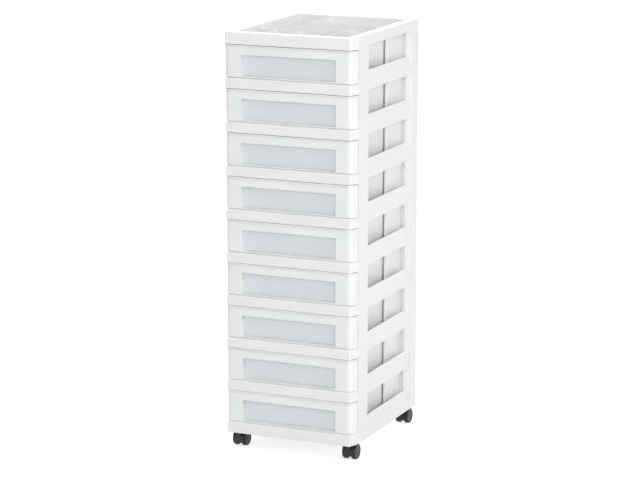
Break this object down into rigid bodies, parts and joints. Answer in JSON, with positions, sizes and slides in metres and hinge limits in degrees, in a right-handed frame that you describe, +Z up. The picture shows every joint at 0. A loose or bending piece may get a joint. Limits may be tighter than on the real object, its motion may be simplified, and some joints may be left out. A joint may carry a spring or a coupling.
{
  "type": "plastic drawer tower",
  "caption": "Tall moulded drawer tower on swivel casters, with translucent pull-out drawers behind wrap-round fronts and a divided organizer tray on top.",
  "frame": {"origin": "on the floor, under the middle of the tower's width and depth", "axes": "+Z up; the drawers face and open towards -Y; +X is the right side as seen from behind the handle side of the drawers looking along +Y"},
  "size_m": [0.306, 0.37, 0.921],
  "materials": {
    "frame_plastic": "white moulded polypropylene, satin",
    "drawer_plastic": "milky translucent polypropylene, satin",
    "caster_plastic": "black nylon, satin",
    "wheel_plastic": "hard black nylon",
    "steel": "zinc-plated steel"
  },
  "bodies": {
    "frame": {"base_frame": "frame_plastic", "organizer_top": "frame_plastic", "front_band_2": "frame_plastic", "front_band_3": "frame_plastic", "front_band_4": "frame_plastic", "front_band_5": "frame_plastic", "front_band_6": "frame_plastic", "front_band_7": "frame_plastic", "front_band_8": "frame_plastic", "front_band_9": "frame_plastic", "front_post_left": "frame_plastic", "front_post_right": "frame_plastic", "rear_post_left": "frame_plastic", "rear_post_right": "frame_plastic", "side_rails_left": "frame_plastic", "side_rails_right": "frame_plastic", "rear_crossbars": "frame_plastic", "front_left_caster_stem": "steel", "front_right_caster_stem": "steel", "rear_left_caster_stem": "steel", "rear_right_caster_stem": "steel"},
    "drawer_1": {"drawer_1": "drawer_plastic"},
    "drawer_2": {"drawer_2": "drawer_plastic"},
    "drawer_3": {"drawer_3": "drawer_plastic"},
    "drawer_4": {"drawer_4": "drawer_plastic"},
    "drawer_5": {"drawer_5": "drawer_plastic"},
    "drawer_6": {"drawer_6": "drawer_plastic"},
    "drawer_7": {"drawer_7": "drawer_plastic"},
    "drawer_8": {"drawer_8": "drawer_plastic"},
    "drawer_9": {"drawer_9": "drawer_plastic"},
    "front_left_caster": {"front_left_caster_hood": "caster_plastic", "front_left_caster_axle": "steel"},
    "front_left_wheel_1": {"front_left_caster_wheel_1": "wheel_plastic"},
    "front_left_wheel_2": {"front_left_caster_wheel_2": "wheel_plastic"},
    "front_right_caster": {"front_right_caster_hood": "caster_plastic", "front_right_caster_axle": "steel"},
    "front_right_wheel_1": {"front_right_caster_wheel_1": "wheel_plastic"},
    "front_right_wheel_2": {"front_right_caster_wheel_2": "wheel_plastic"},
    "rear_left_caster": {"rear_left_caster_hood": "caster_plastic", "rear_left_caster_axle": "steel"},
    "rear_left_wheel_1": {"rear_left_caster_wheel_1": "wheel_plastic"},
    "rear_left_wheel_2": {"rear_left_caster_wheel_2": "wheel_plastic"},
    "rear_right_caster": {"rear_right_caster_hood": "caster_plastic", "rear_right_caster_axle": "steel"},
    "rear_right_wheel_1": {"rear_right_caster_wheel_1": "wheel_plastic"},
    "rear_right_wheel_2": {"rear_right_caster_wheel_2": "wheel_plastic"}
  },
  "joints": [
    {"name": "drawer_1_slide", "type": "slide", "parent": "frame", "child": "drawer_1", "axis": [0, -1, 0], "range_m": [0, 0.268]},
    {"name": "drawer_2_slide", "type": "slide", "parent": "frame", "child": "drawer_2", "axis": [0, -1, 0], "range_m": [0, 0.268]},
    {"name": "drawer_3_slide", "type": "slide", "parent": "frame", "child": "drawer_3", "axis": [0, -1, 0], "range_m": [0, 0.268]},
    {"name": "drawer_4_slide", "type": "slide", "parent": "frame", "child": "drawer_4", "axis": [0, -1, 0], "range_m": [0, 0.268]},
    {"name": "drawer_5_slide", "type": "slide", "parent": "frame", "child": "drawer_5", "axis": [0, -1, 0], "range_m": [0, 0.268]},
    {"name": "drawer_6_slide", "type": "slide", "parent": "frame", "child": "drawer_6", "axis": [0, -1, 0], "range_m": [0, 0.268]},
    {"name": "drawer_7_slide", "type": "slide", "parent": "frame", "child": "drawer_7", "axis": [0, -1, 0], "range_m": [0, 0.268]},
    {"name": "drawer_8_slide", "type": "slide", "parent": "frame", "child": "drawer_8", "axis": [0, -1, 0], "range_m": [0, 0.268]},
    {"name": "drawer_9_slide", "type": "slide", "parent": "frame", "child": "drawer_9", "axis": [0, -1, 0], "range_m": [0, 0.268]},
    {"name": "front_left_caster_swivel", "type": "hinge", "parent": "frame", "child": "front_left_caster", "pos_m": [-0.131, -0.154, 0.039], "axis": [0, 0, 1], "continuous": true},
    {"name": "front_left_wheel_1_spin", "type": "hinge", "parent": "front_left_caster", "child": "front_left_wheel_1", "pos_m": [-0.1411, -0.142, 0.017], "axis": [1, 0, 0], "continuous": true},
    {"name": "front_left_wheel_2_spin", "type": "hinge", "parent": "front_left_caster", "child": "front_left_wheel_2", "pos_m": [-0.1209, -0.142, 0.017], "axis": [1, 0, 0], "continuous": true},
    {"name": "front_right_caster_swivel", "type": "hinge", "parent": "frame", "child": "front_right_caster", "pos_m": [0.131, -0.154, 0.039], "axis": [0, 0, 1], "continuous": true},
    {"name": "front_right_wheel_1_spin", "type": "hinge", "parent": "front_right_caster", "child": "front_right_wheel_1", "pos_m": [0.1209, -0.142, 0.017], "axis": [1, 0, 0], "continuous": true},
    {"name": "front_right_wheel_2_spin", "type": "hinge", "parent": "front_right_caster", "child": "front_right_wheel_2", "pos_m": [0.1411, -0.142, 0.017], "axis": [1, 0, 0], "continuous": true},
    {"name": "rear_left_caster_swivel", "type": "hinge", "parent": "frame", "child": "rear_left_caster", "pos_m": [-0.131, 0.154, 0.039], "axis": [0, 0, 1], "continuous": true},
    {"name": "rear_left_wheel_1_spin", "type": "hinge", "parent": "rear_left_caster", "child": "rear_left_wheel_1", "pos_m": [-0.1411, 0.166, 0.017], "axis": [1, 0, 0], "continuous": true},
    {"name": "rear_left_wheel_2_spin", "type": "hinge", "parent": "rear_left_caster", "child": "rear_left_wheel_2", "pos_m": [-0.1209, 0.166, 0.017], "axis": [1, 0, 0], "continuous": true},
    {"name": "rear_right_caster_swivel", "type": "hinge", "parent": "frame", "child": "rear_right_caster", "pos_m": [0.131, 0.154, 0.039], "axis": [0, 0, 1], "continuous": true},
    {"name": "rear_right_wheel_1_spin", "type": "hinge", "parent": "rear_right_caster", "child": "rear_right_wheel_1", "pos_m": [0.1209, 0.166, 0.017], "axis": [1, 0, 0], "continuous": true},
    {"name": "rear_right_wheel_2_spin", "type": "hinge", "parent": "rear_right_caster", "child": "rear_right_wheel_2", "pos_m": [0.1411, 0.166, 0.017], "axis": [1, 0, 0], "continuous": true}
  ]
}
